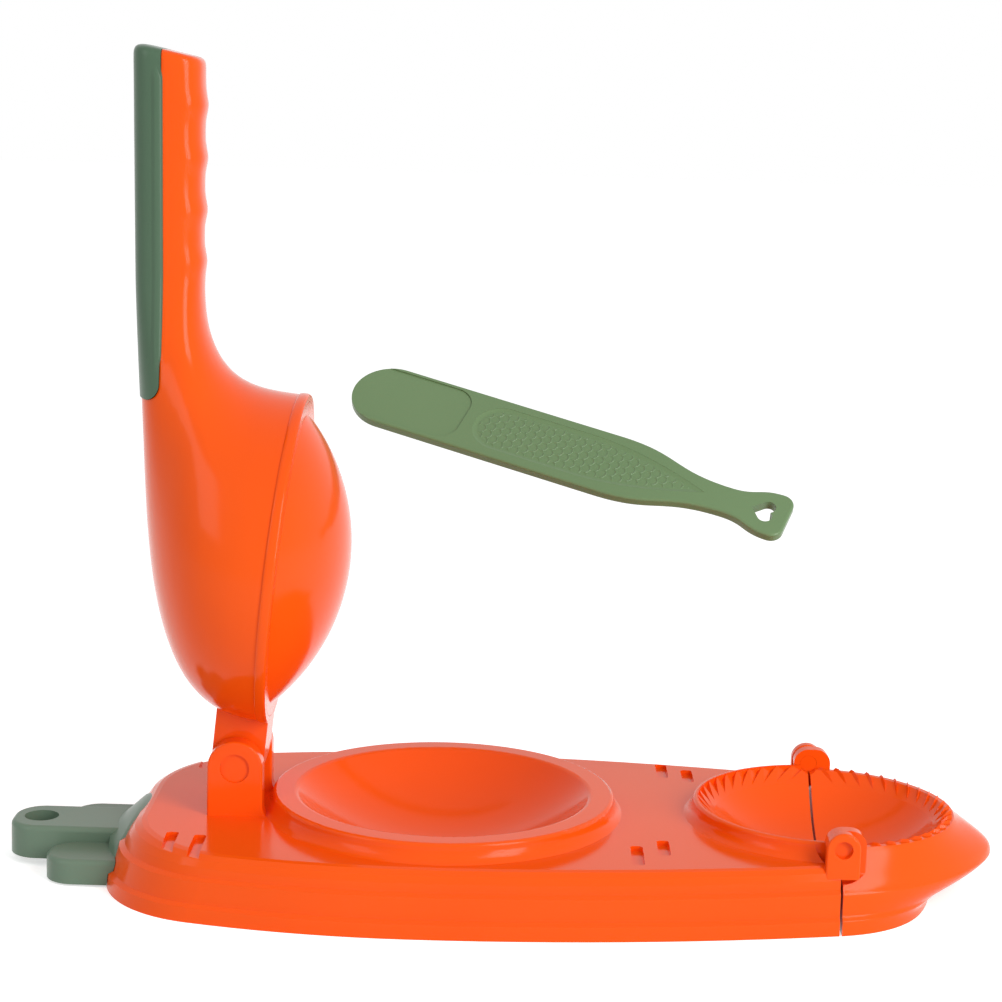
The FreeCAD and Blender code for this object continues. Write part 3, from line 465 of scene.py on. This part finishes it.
def add_seams(cover_material, handle_material):
    """The rolled edge and the lip on both sides of the handle."""
    rising = np.linspace(edge_start, edge_crest, edge_rising_columns)
    quarter = np.linspace(0, np.pi / 2, edge_falling_columns)
    falling = edge_crest + (edge_end - edge_crest) * np.sin(quarter)
    edge_places = np.concatenate([rising[:-1], falling])
    lip_places = np.linspace(lip_start, lip_end, lip_columns)
    for side, where in ((-1, "front"), (1, "rear")):
        seam_strip(f"cover_edge_{where}", edge_places, "handle_cover", cover_last,
                   edge_rise, cover_material, side)
        seam_strip(f"handle_lip_{where}", lip_places, "press_arm", lip_end,
                   lip_rise, handle_material, side)


def on_open_arm(d, y, h):
    """Points of the closed arm, d along it from the pin and h up from its mouth, swung open, in metres."""
    turn = np.radians(arm_open_angle)
    up = mouth_z + h - arm_pin_z
    x = arm_pin_x + d * np.cos(turn) - up * np.sin(turn)
    z = arm_pin_z + d * np.sin(turn) + up * np.cos(turn)
    return np.stack([x, y, z], axis=-1) / mm_per_metre


def add_mouth_rim(material):
    """The rolled rim, for the angle a around the mouth and the angle b from 0 to pi over the roll.

    radius = mouth_radius - sink + (height + sink) * sqrt(sin b), h = middle - half_width * cos b.
    """
    around = np.linspace(0, 2 * np.pi, rim_rows)
    over = np.linspace(0, np.pi, rim_columns)
    a, b = np.meshgrid(around, over, indexing="ij")
    radius = mouth_radius - rim_sink + (rim_height + rim_sink) * np.sqrt(np.clip(np.sin(b), 0, None))
    h = rim_middle - rim_half_width * np.cos(b)
    points = on_open_arm(mouth_centre_d + radius * np.cos(a), radius * np.sin(a), h)
    add_sheet("mouth_rim", points, material, "arm")


def add_leaf_collar(material):
    """The leaf's collar, for the angle a along its arch and the share s from the outer to the inner arch.

    With W, H and w, h for the two arches, y = (W + (w - W) * s) * sin a and
    z = foot + (H + (h - H) * s) * cos a, and x lies proud + flare * s * cos a out from the tray's end.
    The outermost column is sunk into the tray.
    """
    span = np.radians(collar_span)
    along = np.linspace(-span, span, collar_rows)
    inward = np.linspace(0, 1, collar_columns)
    a, s = np.meshgrid(along, inward, indexing="ij")
    y = (collar_outer[0] + (collar_inner[0] - collar_outer[0]) * s) * np.sin(a)
    z = collar_foot_z + (collar_outer[1] + (collar_inner[1] - collar_outer[1]) * s) * np.cos(a)
    end = np.interp(z, tray_end_z, tray_end_x) + np.interp(np.abs(y), tray_fall_y, tray_fall_x)
    x = end - np.where(s > 0, collar_proud, -collar_proud) - collar_flare * s * np.cos(a)
    add_sheet("leaf_collar", np.stack([x, y, z], axis=-1) / mm_per_metre, material, "base")


orange = moulded_plastic("orange_plastic", *orange_finish)
cover_green = moulded_plastic("cover_plastic", *cover_finish)
# The leaf's material is the cover's plastic painted lighter, as painted light
leaf_painted_lighter_green = moulded_plastic("leaf_plastic_painted_lighter", *leaf_painted_lighter_finish)
spatula_green = moulded_plastic("spatula_plastic", *spatula_finish)
paint(orange, "base_shell", "press_arm", "press_dome", "mould_flap", "arm_hinge_pin",
      "mould_hinge_pin_front", "mould_hinge_pin_rear")
paint(cover_green, "handle_cover")
paint(leaf_painted_lighter_green, "leaf_tail")
paint(spatula_green, "spatula")
add_fish_scales(spatula_green)
add_seams(cover_green, orange)
add_mouth_rim(orange)
add_leaf_collar(leaf_painted_lighter_green)

bpy.context.scene.view_settings.view_transform = "Standard"
add_camera()
add_floor()
add_world()
add_lamp("key_lamp", *key_lamp)
add_lamp("window_lamp", *window_lamp)
